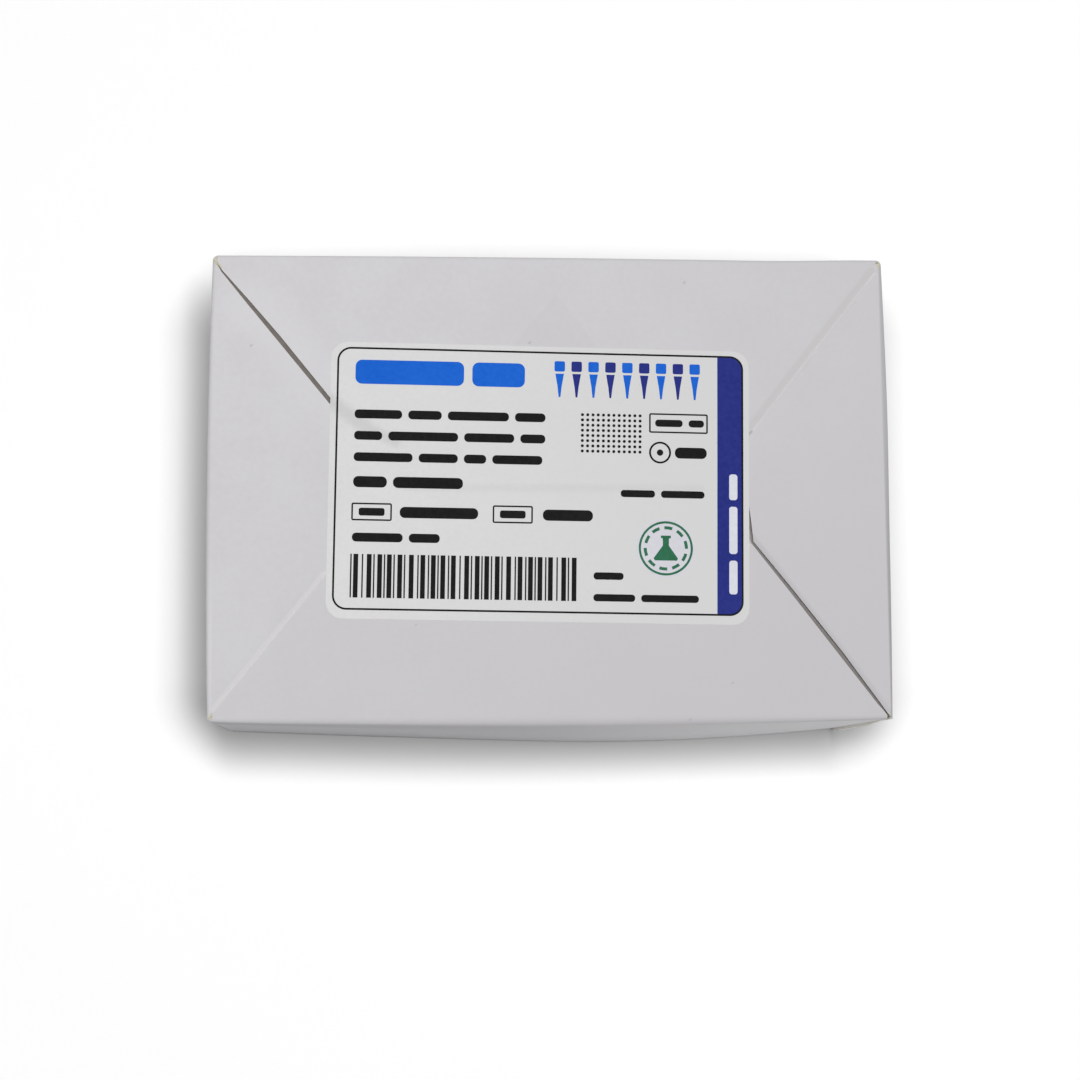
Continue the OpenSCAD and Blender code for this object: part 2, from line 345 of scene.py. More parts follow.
ring = np.array(LID_HALF) - CREASE_AT_CORNER  # where the flaps begin, at the corners
straight = np.array(LID_HALF) - CORNER  # where the straight walls end
pinch = straight + (CORNER - CREASE_AT_CORNER) * math.sqrt(0.5)  # where a corner closes
pinch_left = pinch * (-1, 1)
front_end = LAP_X - LAP_FOLD

# Edge of each flap from its wall's left end to its right end.
FLAP_EDGES = [
    [-pinch, *FRONT_SCORE, (-27.1, -0.15), *slit_front[SEAM:], (front_end, -ring[1])],
    [(ring[0], -ring[1]), *slit_rear[:SEAM - 1:-1], (25.3, 0.35), *REAR_SCORE[::-1], pinch],
    [pinch, *REAR_SCORE, (25.3, 0.35), *slit_rear[SEAM - 1::-1], pinch_left],
    [pinch_left, *slit_front[:SEAM], (-27.1, -0.15), *FRONT_SCORE[::-1], -pinch],
]


def relief(x, y):
    """Height of the closed end over its nominal level, which fades to nothing at the
    creases: a slow unevenness, plus a step, lip or valley along each fold and slit."""
    height = 0.13 * np.sin(x / 21 + 0.9) * np.cos(y / 17 - 0.5) + 0.05 * np.sin(x / 9 - y / 13)
    # The rear flap sinks towards its score, and the right flap steps up from it.
    left, along, length = beside(x, y, REAR_SCORE[1], REAR_SCORE[0])
    sunk = np.where(left > 0, 1 - smooth(0, 1.7, left), 1 - smooth(0, 0.5, -left))
    height -= 0.17 * sunk * smooth(-3, 3, along) * (1 - smooth(-4, 0, along - length))
    # The left flap swells beside its score, and the score itself is a fine groove.
    left, along, length = beside(x, y, FRONT_SCORE[1], FRONT_SCORE[0])
    swell = smooth(0, 0.3, -left) * (1 - smooth(0.3, 1.4, -left))
    groove = 1 - smooth(0, 0.25, np.abs(left))
    height += (0.11 * swell - 0.02 * groove) * smooth(-3, 3, along)
    # The right flap's edge bends down into the slit.
    left, along, length = beside(x, y, SLIT[RIGHT_INNER], SLIT[RIGHT_OUTER])
    bent = (1 - smooth(0.2, 1.5, left)) * (left > 0) * (x > SLIT[RIGHT_INNER - 1][0])
    height -= 0.2 * bent * smooth(-6, 0, along)
    # Valleys where the label bridges the slit and the seam.
    for k, depth in enumerate((0.16, 0.14, 0.09, 0.05, 0.07, 0.07), LEFT_INNER):
        left, along, length = beside(x, y, SLIT[k], SLIT[k + 1])
        past = np.maximum(np.maximum(-along, along - length), 0)
        height -= depth * np.exp(-(left**2 + past**2) / 0.9)
    inside = np.minimum(ring[0] - np.abs(x), ring[1] - np.abs(y))
    return height * smooth(0, 4, inside)


def along_line(corners, step):
    """Points no further than step apart along a line of straight runs, which keeps each
    of its corners."""
    corners = np.array(corners, float)
    runs = np.diff(corners, axis=0)
    parts = np.maximum(np.ceil(np.hypot(*runs.T) / step).astype(int), 1)
    run = np.repeat(np.arange(len(runs)), parts)
    share = (np.arange(len(run)) - np.repeat(np.cumsum(parts) - parts, parts)) / parts[run]
    return np.vstack([corners[run] + runs[run] * share[:, None], corners[-1:]])


def bulge(turn, along, share, height):
    """How far a wall stands out: an arch over its length, 4 s (1 - s) at a share s of it,
    times a bow that goes from its crease to its rim by a sine, plus a shallow wave."""
    _, at_crease, at_rim, lean = WALLS[turn]
    at_rim = at_rim * (1 + lean * (2 * share - 1))
    free = np.clip((BOW_TOP - height) / (BOW_TOP - RIM_Z), 0, 1)
    bow = at_crease + (at_rim - at_crease) * np.sin(math.pi / 2 * free)
    wave = 0.12 * np.sin(along / 13 + height / 19 + turn) * (height < LID_TOP - 3)
    return 4 * share * (1 - share) * (bow + wave)


WALL_LEVELS = np.concatenate([[RIM_Z], np.linspace(LAP_LOW, LAP_HIGH, 15)])
FOLD = np.linspace(0, math.pi / 2, 8)[:, None]  # angles of the rows over a crease

# The rows of a flap as shares of the way from its edge to its crease, from 1 to 0. A step
# grows by an exponential towards the crease, so the rows lie closest at the edge.
CROWDING = 3.5
FLAP_STEPS = np.expm1(np.linspace(0, CROWDING, 26)[::-1, None]) / math.expm1(CROWDING)


def folded_rows(radius):
    """Rows of a wall from its rim to its crease and over it, as heights and how far in
    they lie. A point at angle a of the crease lies radius (1 - cos a) further in than the
    wall, and radius sin a above the crease's start."""
    wall = WALL_LEVELS[:, None] + 0 * radius
    heights = np.concatenate([wall, LID_TOP - radius + radius * np.sin(FOLD)])
    inset = np.concatenate([0 * wall, radius * (1 - np.cos(FOLD))])
    return heights, inset


def flap_rows(edge, crease):
    """Rows of a flap from its crease to its edge, along straight lines between them."""
    flat = edge + (crease - edge) * FLAP_STEPS[1:, :, None]
    return np.dstack([flat, LID_TOP + relief(flat[..., 0], flat[..., 1])])


def lid_side(turn):
    """One wall with its crease and its flap, as rows from the rim to the flap's edge.
    The flap's straight lines stand square to the crease."""
    edge = along_line(FLAP_EDGES[turn], 1.2)
    start, end = -straight[turn % 2], straight[turn % 2]
    if turn == 0:
        end = front_end
    if turn == 1:
        start = -ring[1]
    along = np.clip(edge @ turned(turn, 1, 0, 0)[:2], start, end)
    share = np.maximum.accumulate((along - start) / (end - start))
    radius = CREASE_AT_CORNER + WALLS[turn][0] * 4 * share * (1 - share)
    heights, inset = folded_rows(radius)
    outward = LID_HALF[1 - turn % 2] - inset + bulge(turn, along, share, heights)
    along = np.broadcast_to(along, heights.shape).copy()
    if turn == 1:
        # The wall's front end is the cut edge at the glued corner. It stands a little
        # proud of the front wall over the lower part of the corner.
        proud = 0.5 * smooth(0, 4, heights) * (1 - smooth(31, 41, heights))
        level = np.minimum(LID_HALF[0] - outward, CREASE_AT_CORNER) * (heights > 48)
        cut_end = -LID_HALF[1] + np.maximum(level, 0) - proud
        along += (cut_end - start) * (1 - smooth(0, 0.12, share))
    wall = turned(turn, along, outward, heights)
    return np.concatenate([wall, flap_rows(edge, wall[-1, :, :2])])


def lid_corner(turn):
    """The upright crease after wall number turn, whose top closes in one point, where a
    score or the slit starts."""
    angle = np.linspace(0, math.pi / 2, 7)
    heights, inset = folded_rows(np.full(len(angle), CREASE_AT_CORNER))
    reach = CORNER - inset
    along = straight[turn % 2] + reach * np.sin(angle)
    corner = turned(turn, along, straight[1 - turn % 2] + reach * np.cos(angle), heights)
    closing_point = corner[-1, len(angle) // 2, :2]
    return np.concatenate([corner, flap_rows(closing_point, corner[-1, :, :2])])


def out_of_square(grid):
    """The lid is not quite a rectangle: its rear right corner stands further out, by an
    amount that fades along both sides."""
    x, y, z = np.moveaxis(grid, -1, 0)
    at_right = smooth(38, 61, x)
    return np.stack([x + 0.3 * at_right * smooth(-12, 20, y),
                     y + 0.45 * at_right * smooth(0, 42, y), z], axis=-1)


def lid_lap():
    """The glue lap: a fold of a quarter turn, then a strip along the right wall."""
    rows = WALL_LEVELS[1:, None]
    angle = np.linspace(0, math.pi / 2, 6)
    strip = np.linspace(-LID_HALF[1] + LAP_FOLD, -LID_HALF[1] + LAP_WIDTH, 8)[1:]
    y = np.concatenate([-LID_HALF[1] + LAP_FOLD * (1 - np.cos(angle)), strip])
    x = np.concatenate([front_end + LAP_FOLD * np.sin(angle), np.full(len(strip), LAP_X)])
    share = np.clip((y + ring[1]) / (ring[1] + straight[1]), 0, 1)
    return np.stack(np.broadcast_arrays(x + bulge(1, y, share, rows), y, rows), axis=-1)


def grain(root, point, scale, detail=2.0, roughness=0.5):
    """Noise around 0.5 whose features are about 1 / scale metres wide."""
    return root.node("TexNoise", None, {
        "Vector": point, "Scale": scale, "Detail": detail, "Roughness": roughness})


def near(x, y, start, end, width, soft):
    """1 within width of the segment from start to end, which fades to 0 over soft."""
    run = np.subtract(end, start).astype(float)
    length = math.hypot(*run)
    u, v = (run / length).tolist()
    dx, dy = x - float(start[0]), y - float(start[1])
    along = (dx * u + dy * v).over(0).under(length)
    dx, dy = dx - along * u, dy - along * v
    return 1 - dx.length(dy).rise(width, width + soft)


def aside(x, y, start, end):
    """How far a point lies to the left of the line from start to end."""
    u, v = (np.subtract(end, start) / math.dist(start, end)).tolist()
    return (y - float(start[1])) * u - (x - float(start[0])) * v


def bump(root, height, strength, distance=0.00004):
    """A surface roughened by a height from 0 to 1 that stands for a distance in metres."""
    sockets = {"Strength": strength, "Distance": distance, "Height": height}
    return root.node("Bump", None, sockets)


def board_bump(root, point, strength):
    """The faint orange peel of a coated board."""
    return bump(root, grain(root, point, 1500, 3) * 0.6 + grain(root, point, 260), strength)


def board_mottle(root, point):
    """The slow and the fine unevenness of a coated board's tone."""
    return grain(root, point, 90, 4) * 0.6 + grain(root, point, 900, 2) * 0.4


def two_tone(value, low, high):
    """Colour that goes from low to high, in sRGB, over the middle of a noise."""
    return value.rise(0.3, 0.7).blend(colour(*low), colour(*high))


coated_board, root = new_material("coated_board")
x, y, z, point = place(root)
mottle = board_mottle(root, point)
paint = two_tone(mottle, (207, 205, 208), (212, 211, 213))
# Painted shade and light: the sheet is darker towards its right end and its front, darkest
# on the front flap between score and slit, and a painted highlight makes it lightest beside
# the slit at the rear left.
top = z.rise(LID_TOP - 2.5, LID_TOP - 1.5)
drift = (0.5 + 0.0062 * x - 0.006 * y).over(0).under(1)
paint = (drift * 0.9).blend(paint, colour(196, 194, 197))
right_of_score = aside(x, y, FRONT_SCORE[1], FRONT_SCORE[0]).rise(0, 0.4)
left_of_slit = (0 - aside(x, y, SLIT[RIGHT_INNER], SLIT[RIGHT_OUTER])).rise(0, 0.4)
paint = (right_of_score * left_of_slit * (0.22 * top)).blend(paint, colour(196, 194, 197))
slit_highlight = near(x, y, SLIT[2], SLIT[5], 1, 7)
paint = (slit_highlight * top * 0.35).blend(paint, colour(219, 218, 220))
# Painted shade on the front wall: it is greyer, but painted light makes it paler at its right
# end, and painted shade is darkest under its crease at the left.
front_wall = (0 - y).rise(41.0, 41.8) * (1 - z.rise(47.5, 49.5))
paint = (front_wall * (0.9 - 0.9 * x.rise(-20, 60))).blend(paint, colour(176, 175, 178))
paint = (front_wall * 0.8 * x.rise(-10, 60)).blend(paint, colour(222, 221, 223))
under_crease_shade = z.rise(34, 43) * (1 - z.rise(48.8, 49.6)) * (0 - y).rise(40.4, 41.4)
paint = (under_crease_shade * (0.5 - 0.5 * x.rise(-50, 10))).blend(paint, colour(150, 149, 152))
# Painted shade: a warm grey band runs beside the rear score, where the rear flap sinks to it.
# A painted highlight: a pale line along the front one.
band = near(x, y, REAR_SCORE[1] + (-0.5, 0.4), REAR_SCORE[0] + (-0.5, 0.4), 0.4, 0.6)
paint = (band * top * 0.42).blend(paint, colour(192, 187, 186))
line = near(x, y, FRONT_SCORE[1] + (-0.15, 0.1), FRONT_SCORE[0] + (-0.1, 0.1), 0.25, 0.4)
paint = (line * top * 0.65).blend(paint, colour(216, 213, 214))
# Painted shade: the right flap is greyer along the edge that bends down into the slit.
past = aside(x, y, SLIT[RIGHT_INNER], SLIT[RIGHT_OUTER])
bent = past.rise(0, 0.1) * (1 - past.rise(0.3, 1.6)) * x.rise(35.4, 36.4)
paint = (bent * top * 0.45).blend(paint, colour(176, 174, 176))
# Painted shade: the right crease is grey, more so towards the front. A painted highlight makes
# the left one pale there.
right_crease_shade = x.rise(60.45, 60.95) * (0.8 - 0.3 * y.rise(-38, 20))
paint = (right_crease_shade * z.rise(46, 49)).blend(paint, colour(150, 149, 152))
left_crease_highlight = (1 - x.rise(-60.6, -60.0)) * z.rise(48.6, 49.4) * (1 - y.rise(-30, -8))
paint = (left_crease_highlight * 0.35).blend(paint, colour(224, 224, 226))
# A painted highlight: a fine light line runs along the foot of the rear score.
score_highlight = near(x, y, REAR_SCORE[1] + (0.15, -0.12), REAR_SCORE[0] + (0.1, -0.1), 0.05, 0.3)
paint = (score_highlight * top * 0.5).blend(paint, colour(216, 216, 217))
# Small specks, each with its place and its size.
SPOTS = [(-3.9, 26.2, 0.5), (24.5, 37.7, 0.5), (32.0, -35.5, 0.35),
         (-54.0, 25.3, 0.5), (-24.5, -25.1, 0.3), (24.3, -42.0, 0.4)]
for spot_x, spot_y, size in SPOTS:
    spot = near(x, y, (spot_x, spot_y), (spot_x + 0.15, spot_y + 0.1), size * 0.05, size * 0.7)
    paint = (spot * top * 0.45).blend(paint, colour(160, 157, 157))
# Painted shade of a small slot: a dark spot in the rear score, by the label's edge.
slot_shade = near(x, y, (35.9, 9.6), (36.4, 10.1), 0.02, 0.35)
paint = (slot_shade * top * 0.5).blend(paint, colour(140, 133, 126))
# Raw board shows in flakes at the four corners.
bare = near(x, y, (-60.75, 41.2), (-59.6, 39.6), 0.1, 0.4)
for start, end in (((60.8, 41.5), (60.7, 40.9)), ((-60.5, -41.3), (-60.1, -40.6)),
                   ((60.4, -41.7), (60.0, -41.1))):
    bare = bare.over(near(x, y, start, end, 0, 0.4))
flaked = (bare + 0.9 * grain(root, point, 2200, 3)).rise(0.75, 1.15)
paint = (flaked * top * 0.8).blend(paint, colour(196, 189, 164))
surface(root, {
    "Base Color": paint,
    "Roughness": 0.48 + 0.1 * mottle,
    "Specular IOR Level": 0.35,
    "Normal": board_bump(root, point, 0.25),
})

board_reverse, root = new_material("board_reverse")
x, y, _, point = place(root)
fibre = grain(root, point, 700, 4, 0.7)
paint = two_tone(fibre, (206, 200, 184), (221, 216, 202))
# Painted light: the reverse is whiter at the front wall's right end, by the glued corner.
painted_corner_light = (0 - y).rise(41.5, 42.0) * x.rise(43, 48)
surface(root, {
    "Base Color": (painted_corner_light * 0.9).blend(paint, colour(248, 246, 240)),
    "Roughness": 0.85,
    "Specular IOR Level": 0.2,
    "Normal": bump(root, fibre, 0.4, 0.00005),
})

board_edge, root = new_material("board_edge")
x, y, z, point = place(root)
fibre = grain(root, point, 3000, 3, 0.7)
paint = two_tone(fibre, (222, 216, 198), (236, 231, 215))
# Painted shade: the edges along the slit's right part are grey, where the right flap bends down.
slit_edge_shade = x.rise(33, 37) * z.rise(LID_TOP - 2, LID_TOP - 1)
paint = (slit_edge_shade * 0.7).blend(paint, colour(150, 148, 148))
# Painted light: they are whiter down the glued corner.
painted_corner_light = (0 - y).rise(41.5, 42.0) * x.rise(59, 60)
surface(root, {
    "Base Color": (painted_corner_light * 0.8).blend(paint, colour(250, 249, 246)),
    "Roughness": 0.9,
    "Specular IOR Level": 0.2,
    "Normal": bump(root, fibre, 0.5, 0.00006),
})

BOARD_FINISHES = [coated_board, board_reverse, board_edge]
lid_patches = [lid_side(turn) for turn in range(4)] + [lid_corner(k) for k in (1, 2, 3)]
lid_board = join_patches(
    "lid_board", [out_of_square(patch) for patch in (*lid_patches, lid_lap())], BOARD_FINISHES
)
thicken(lid_board, BOARD, 1, 2, sharp=60)
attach(lid_board, "lid")
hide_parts("lid_carton")

# The layer of board under the closed end: a triangle glued behind each score, a tongue
# that bridges each open stretch of the slit, and the hook that locks the middle seam.
# What shows of it through the slit is painted dark, for the shade down in the slit.

GLUED_GAP, TUCKED_GAP = 0.02, 0.06  # from the underside of the outer board


def ruled(first, second, step=1.2, rows=12):
    """Grid between two lines of the same number of points: straight lines run from each
    point of the first to the point at the same share of the second."""
    lines = [along_line(first, step), along_line(second, step)]
    share = np.linspace(0, 1, max(len(line) for line in lines))
    ends = []
    for points in lines:
        lengths = np.concatenate([[0], np.cumsum(np.hypot(*np.diff(points, axis=0).T))])
        own = lengths / lengths[-1]
        ends.append(np.stack([np.interp(share, own, points[:, k]) for k in range(2)], axis=-1))
    t = np.linspace(0, 1, rows)[:, None, None]
    return ends[0] * (1 - t) + ends[1] * t


def under_flap(first, second, gap, opposite=False):
    """A ruled flap that follows the relief of the board over it, at a gap below it."""
    flat = ruled(first, second) * (-1 if opposite else 1)
    height = LID_TOP + relief(flat[..., 0], flat[..., 1]) - BOARD - gap
    return out_of_square(np.dstack([flat, height]))


GLUED_INNER = [[-56.0, -37.5], [-40.6, -16.4], [-33.5, -3.6]]
GLUED_OUTER = [[-51.0, -38.6], [-33.0, -37.0], [-20.8, -16.6]]
TONGUE_LEFT = [[-60.4, 40.2], [-47.6, 13.4], [-41.5, 1.7], [-29.3, -1.7]]
TONGUE_RIGHT = [[-59.2, 41.2], [-31.7, 18.5], [-24.4, 6.7], [-25.4, 0.5]]
HOOK_FRONT = [[-22.5, -7.6], [19.5, -7.6], [22.4, 1.7]]
HOOK_REAR = [[-22.5, 8.4], [15.9, 8.4], [22.4, 1.9]]

# Painted shade: the tucked board's face is dark, for the shade in the slit over it, and less dark
# towards the right.
board_tucked, root = new_material("board_tucked")
x, _, _, point = place(root)
fibre = grain(root, point, 700, 4, 0.7)
paint = two_tone(fibre, (114, 109, 106), (126, 120, 116))
surface(root, {
    "Base Color": (x.rise(20, 40) * 0.5).blend(paint, colour(140, 138, 137)),
    "Roughness": 0.85,
    "Specular IOR Level": 0.2,
    "Normal": bump(root, fibre, 0.4, 0.00005),
})

lid_underflaps = join_patches(
    "lid_underflaps",
    [under_flap(GLUED_OUTER, GLUED_INNER, GLUED_GAP, opposite) for opposite in (False, True)]
    + [under_flap(TONGUE_LEFT, TONGUE_RIGHT, TUCKED_GAP, opposite) for opposite in (False, True)]
    + [under_flap(HOOK_FRONT, HOOK_REAR, TUCKED_GAP)],
    [board_tucked, coated_board, board_edge],
)
thicken(lid_underflaps, BOARD, 1, 2)
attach(lid_underflaps, "lid")
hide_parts("lid_carton")

# ---- Label ---------------------------------------------------------------------------
# A die-cut paper label with a semi-gloss face, stuck over the middle of the closed end.
# It follows the folds of the board and sinks a little into the slit and the seam.

LABEL_PLACE = (-2, 0.5)
LABEL_TURN = math.radians(-1)
LABEL_THICK = 0.12
LABEL = (-38, 37.75, -25, 25)  # left, right, low and high, as for every shape on it
LABEL_R = 3


def on_label(flat, lift):
    """Points of the label, given as right and up from its middle, at a lift above it."""
    u, v = flat[..., 0], flat[..., 1]
    x = LABEL_PLACE[0] + u * math.cos(LABEL_TURN) - v * math.sin(LABEL_TURN)
    y = LABEL_PLACE[1] + u * math.sin(LABEL_TURN) + v * math.cos(LABEL_TURN)
    return np.stack([x, y, LID_TOP + LABEL_THICK + lift + relief(x, y)], axis=-1)


def panel(left, right, low, high, r=0.0, step=0.5):
    """Grid of a rectangle with corners of radius r. A row at a distance d inside the
    corners' centres is half the width, less r - sqrt(r^2 - d^2), long to each side."""
    middle_rows = max(int((high - low - 2 * r) / step), 1)
    v = np.linspace(low + r, high - r, middle_rows + 1)
    if r:
        angle = np.linspace(0, math.pi / 2, 6)[:-1]
        v = np.concatenate([low + r - r * np.cos(angle), v, high - r + r * np.cos(angle)[::-1]])
    past = np.clip(np.maximum(low + r - v, v - high + r), 0, r)
    half = (right - left) / 2 - r + np.sqrt(r * r - past**2)
    share = np.linspace(-1, 1, max(int((right - left) / step), 1) + 1)
    u = (left + right) / 2 + half[:, None] * share
    return np.stack(np.broadcast_arrays(u, v[:, None]), axis=-1)


def paper_like(name, low, high, roughness, gloss, valley_shade=0):
    """A coated paper or a print on it: two close tones in a fine mottle. The last argument is
    how much painted shade greys the paper in its valleys over the slit and the seam; it also
    darkens the paper towards the right."""
    made, root = new_material(name)
    x, y, _, point = place(root)
    mottle = grain(root, point, 1200, 3) * 0.6 + grain(root, point, 120, 3) * 0.4
    height = grain(root, point, 2200, 2)
    paint = two_tone(mottle, low, high)
    # Painted shade greys the paper in its valleys over the slit and the seam.
    if valley_shade:
        paint = x.rise(-45, 40).blend(paint, colour(212, 212, 212))
        valley = near(x, y, SLIT[LEFT_INNER], SLIT[LEFT_INNER + 1], 0.3, 1.9)
        valley = valley.over(near(x, y, SLIT[LEFT_INNER + 1], SLIT[LEFT_INNER + 2], 0, 1.7))
        seam = near(x, y, (-26, -0.4), (27, -0.4), 0, 1.3)
        paint = (valley * valley_shade + seam * (0.4 * valley_shade)).blend(paint, colour(178, 178, 178))
    surface(root, {
        "Base Color": paint,
        "Roughness": roughness + 0.08 * mottle,
        "Specular IOR Level": gloss,
        "Normal": bump(root, height, 0.15, 0.00002),
    })
    return made


label_paper = paper_like("label_paper", (216, 216, 216), (221, 221, 221), 0.4, 0.3, 0.36)
label_sheet = join_patches("label_sheet", [on_label(panel(*LABEL, LABEL_R), 0)], [label_paper])
thicken(label_sheet, LABEL_THICK)
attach(label_sheet, "lid")
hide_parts("label")

# ---- Print on the label --------------------------------------------------------------
# A plain generic print, one thin layer to an ink: a frame and a band, a row of tips, a
# plan of the rack, bars where words would stand, plain stripes and a round seal.

INK_LIFT = 0.035
FRAME = (-36.9, 36.7, -23.4, 24.1)
FRAME_R = 2.5
FRAME_LINE = 0.34
BAND_LEFT = 31.95
MARGIN = -33.6  # left end of the rows of bars
TARGET = (21.5, 6.0)
PLAN, PLAN_PITCH = (7.4, 6.0), 0.95
SEAL = (22.6, -11.4)


def round_loop(left, right, low, high, r, line, step=0.5):
    """Grid of a line that runs round a rectangle with corners of radius r: two loops,
    the second smaller by the line's width."""
    angle = np.linspace(0, math.pi / 2, 10)
    loops = []
    for radius in (r, r - line):
        corners = []
        for quarter, (u, v) in enumerate(((right - r, high - r), (left + r, high - r),
                                          (left + r, low + r), (right - r, low + r))):
            a = angle + quarter * math.pi / 2
            corners.append(np.stack([u + radius * np.cos(a), v + radius * np.sin(a)], axis=-1))
        loop = np.concatenate(corners + [corners[0][:1]])
        loops.append(along_line(loop, step))
    return np.stack(loops)


def arc(u, v, outer, inner, start=0.0, end=360.0, step=0.35):
    """Grid of a ring, or a part of it, between two radii about u, v."""
    count = max(int(math.radians(end - start) * outer / step), 6 if end - start == 360 else 1)
    a = np.radians(np.linspace(start, end, count + 1))
    radius = np.linspace(outer, inner, max(int((outer - inner) / 0.6), 1) + 1)[:, None]
    return np.stack([u + radius * np.cos(a), v + radius * np.sin(a)], axis=-1)


def turned_shape(u, levels, halves):
    """Grid of a shape that is even about an upright line at u: half its width at each
    level, from the lowest up."""
    levels, halves = np.array(levels), np.array(halves)
    share = np.linspace(-1, 1, 5)
    return np.stack(np.broadcast_arrays(u + halves[:, None] * share, levels[:, None]), axis=-1)


def bars(left, middle, lengths, height, gap=1.1, rounding=0.45):
    """A row of rounded bars, such as words make from afar."""
    starts = left + np.cumsum([0] + [length + gap for length in lengths[:-1]])
    return [panel(a, a + length, middle - height / 2, middle + height / 2, height * rounding)
            for a, length in zip(starts.tolist(), lengths)]


def printed(name, shapes, low, high, lift=INK_LIFT):
    """One ink on the label."""
    ink = paper_like(name, low, high, 0.5, 0.12)
    piece = join_patches(name, [on_label(shape, lift) for shape in shapes], [ink])
    thicken(piece, 0.05)
    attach(piece, "lid")


def drawn_tip(u, top):
    """A small picture of a tip, point down."""
    hub = panel(u - 0.95, u + 0.95, top - 1.9, top, 0.3)
    cone = turned_shape(u, [top - 6.6, top - 4.6, top - 2.3], [0.16, 0.38, 0.78])
    return [hub, cone]


blue_shapes = bars(MARGIN, 19.6, [19.5, 9.5], 4.4, 1.5, 0.27)
navy_shapes = []
for k, u in enumerate(np.linspace(3.2, 27.8, 9).tolist()):
    (navy_shapes if k % 2 else blue_shapes).extend(drawn_tip(u, 22.4))

# Bars of three heights. Each row has its level, its left end and its bars' lengths.
black_shapes = [round_loop(*FRAME, FRAME_R, FRAME_LINE)]
for height, rows in (
    (1.6, ((11.9, MARGIN, [8.5, 6, 11, 5.5]), (8.0, MARGIN, [5, 12.5, 9, 4.5]),
           (4.1, MARGIN, [10.5, 7, 4, 9]), (-10.4, MARGIN, [9, 5.5]))),
    (2.0, ((-0.4, MARGIN, [6, 12.5]), (-5.8, -25.2, [14]), (-5.8, 0.4, [9]), (6.0, 24.2, [5.8]))),
    (1.3, ((11.4, 20.6, [5.0, 2.8]), (-1.6, 14.4, [6.2, 7.9]), (-16.6, 9.6, [5.4]),
           (-20.5, 9.6, [7.5, 10.4]))),
):
    for middle, left, lengths in rows:
        black_shapes += bars(left, middle, lengths, height)

# Three framed boxes, two of them with a bar inside, and a small target.
for left, right, low, high in ((-33.8, -26.6, -7.4, -4.2), (-8.6, -1.4, -7.4, -4.2),
                               (19.5, 30.2, 9.6, 13.2)):
    black_shapes.append(round_loop(left, right, low, high, 0.35, 0.28))
for middle, length in ((-30.2, 4.6), (-5.0, 4.6)):
    black_shapes.append(panel(middle - length / 2, middle + length / 2, -6.5, -5.1, 0.4))
black_shapes += [arc(*TARGET, 2.0, 1.65), arc(*TARGET, 0.6, 0)]

# The plan of the rack: a dot for each tip.
black_shapes += [arc(PLAN[0] + PLAN_PITCH * column, PLAN[1] + PLAN_PITCH * row, 0.3, 0)
                 for column in range(12) for row in range(8)]

# Plain stripes, each 0.25 to 0.85 wide.
order = np.arange(42)
widths = 0.25 + 0.2 * ((order * order + 2 * order) % 4)
gaps = 0.3 + 0.17 * ((order * 5 + order * order // 3) % 3)
stripes = -33.8 + np.cumsum(np.concatenate([[0], (widths + gaps)[:-1]]))
black_shapes += [panel(a, a + w, -21.2, -13.4) for a, w in zip(stripes.tolist(), widths.tolist())]

# The band follows the rounded right side of the frame.
side = panel(0, FRAME[1] - 0.15, FRAME[2] + 0.15, FRAME[3] - 0.15, FRAME_R - 0.15)[:, -1:]
share = np.linspace(0, 1, 9)
band = np.dstack([BAND_LEFT + (side[..., 0] - BAND_LEFT) * share, side[..., 1] + 0 * share])
white_shapes = [panel(34.1, 35.6, low, high, 0.5)
                for low, high in ((-19.5, -13.4), (-12.2, -3.6), (-2.4, 2.3))]

# The seal: a ring, a broken ring inside it, and a flask.
green_shapes = [
    arc(*SEAL, 4.9, 4.5),
    turned_shape(SEAL[0], SEAL[1] + np.array([-2.2, -1.8, 0.5, 1.8, 1.85, 2.3]),
                 [2.0, 2.2, 0.55, 0.55, 0.9, 0.9]),
] + [arc(*SEAL, 4.0, 3.45, start, start + 22.0) for start in range(0, 360, 36)]

printed("print_pale", [arc(*SEAL, 5.3, 0)], (210, 209, 217), (216, 215, 222), 0.02)
printed("print_navy", navy_shapes + [band], (38, 46, 120), (46, 54, 130), 0.03)
printed("print_blue", blue_shapes, (28, 96, 202), (36, 104, 210))
printed("print_black", black_shapes, (14, 14, 15), (26, 26, 27), 0.04)
printed("print_green", green_shapes, (46, 102, 74), (56, 114, 86), 0.04)
printed("print_white", white_shapes, (214, 216, 226), (222, 224, 232), 0.05)

# ---- Base carton ---------------------------------------------------------------------
# The lower tray, of the same board and folded the same way, bottom down. Its windows are
# die-cut, so they show the raw core of the board, and its inside is the bare reverse.

BASE_HALF = (59.75, 40.75)

base_board, root = new_material("base_board")
x, y, z, point = place(root)
mottle = board_mottle(root, point)
fibre = grain(root, point, 1100, 4, 0.7)
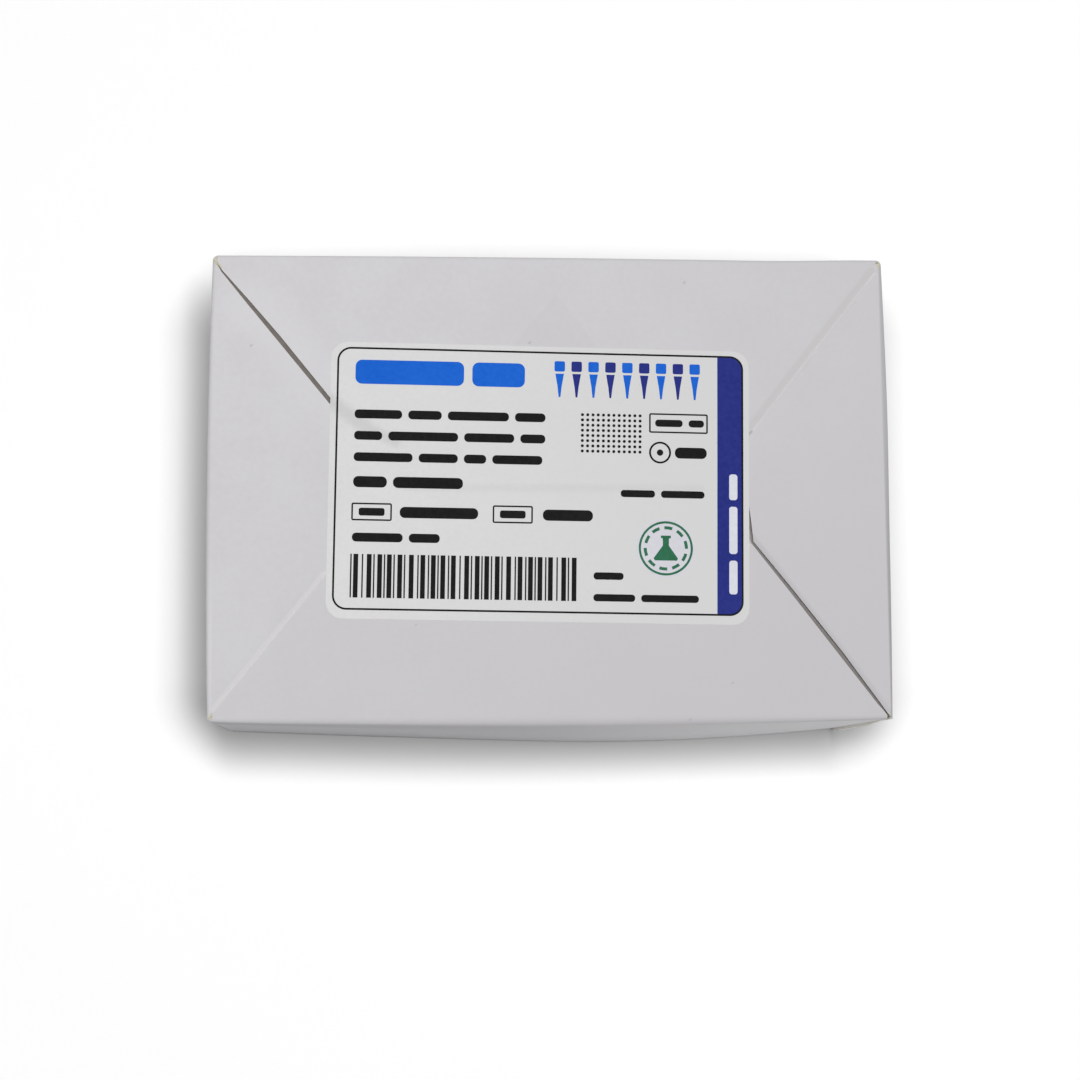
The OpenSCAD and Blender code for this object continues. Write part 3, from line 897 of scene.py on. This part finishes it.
# Depth in the board from its outer face: nearest of the walls, rounded at the corners by
# CORNER, and the bottom.
past_x = (abs(x) - (BASE_HALF[0] - CORNER)).over(0)
past_y = (abs(y) - (BASE_HALF[1] - CORNER)).over(0)
depth = (CORNER - past_x.length(past_y)).under(z)
paint = two_tone(mottle, (202, 201, 205), (207, 206, 210))
core = two_tone(fibre, (182, 172, 140), (208, 201, 176))
back = two_tone(fibre, (186, 180, 166), (203, 198, 186))
paint = depth.rise(0.04, 0.08).blend(paint, core)
paint = depth.rise(0.39, 0.43).blend(paint, back)
surface(root, {
    "Base Color": paint,
    "Roughness": 0.5 + 0.35 * depth.rise(0.04, 0.08),
    "Specular IOR Level": 0.3,
    "Normal": board_bump(root, point, 0.3),
})


def finish_nodes(finish, *names):
    """Gives CAD nodes a finish."""
    for name in names:
        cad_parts[name].data.materials.clear()
        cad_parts[name].data.materials.append(finish)


finish_nodes(base_board, "base_carton")

# ---- Deck ----------------------------------------------------------------------------
# One moulding of pale blue polypropylene, which drops into the base and clicks into its
# windows. Its face is spark-eroded to a fine matt texture.

deck_plastic, root = new_material("deck_plastic")
_, _, z, point = place(root)
texture = grain(root, point, 2600, 3, 0.7)
flow = grain(root, point, 35, 3)
# The collars' faces, where the hubs stand, are smoother.
collar_face = z.rise(37.7, 37.78)
surface(root, {
    "Base Color": two_tone(flow, (172, 193, 212), (180, 200, 218)),
    "Roughness": 0.5 - 0.12 * collar_face + 0.1 * texture,
    "Specular IOR Level": 0.45,
    "Normal": bump(root, texture, 0.25),
})
finish_nodes(deck_plastic, "tip_deck")

# ---- Tips and filters ----------------------------------------------------------------
# Ninety-six moulded tips of clear polypropylene, which is slightly milky. Each has a plug
# of sintered polyethylene pressed in, an open-pored white rod.

tip_plastic, root = new_material("tip_plastic")
point = object_point(root)
milk = grain(root, point, 400, 3)
surface(root, {
    "Base Color": two_tone(milk, (238, 241, 243), (245, 247, 248)),
    "Roughness": 0.25 + 0.1 * milk,
    "IOR": 1.49,
    "Transmission Weight": 0.25,
    "Normal": bump(root, milk, 0.08),
})
finish_nodes(tip_plastic, *(f"tips_column_{k:02d}" for k in range(1, 13)))

filter_plug, root = new_material("filter_plug")
point = object_point(root)
pores = root.node("TexVoronoi", {"feature": "F1"}, {"Vector": point, "Scale": 5500.0}, "Distance")
surface(root, {
    "Base Color": pores.rise(0.2, 0.7).blend(colour(240, 240, 238), colour(214, 214, 211)),
    "Roughness": 0.9,
    "Specular IOR Level": 0.3,
    "Normal": bump(root, pores, 0.6, 0.00008),
})
finish_nodes(filter_plug, *(f"filters_column_{k:02d}" for k in range(1, 13)))
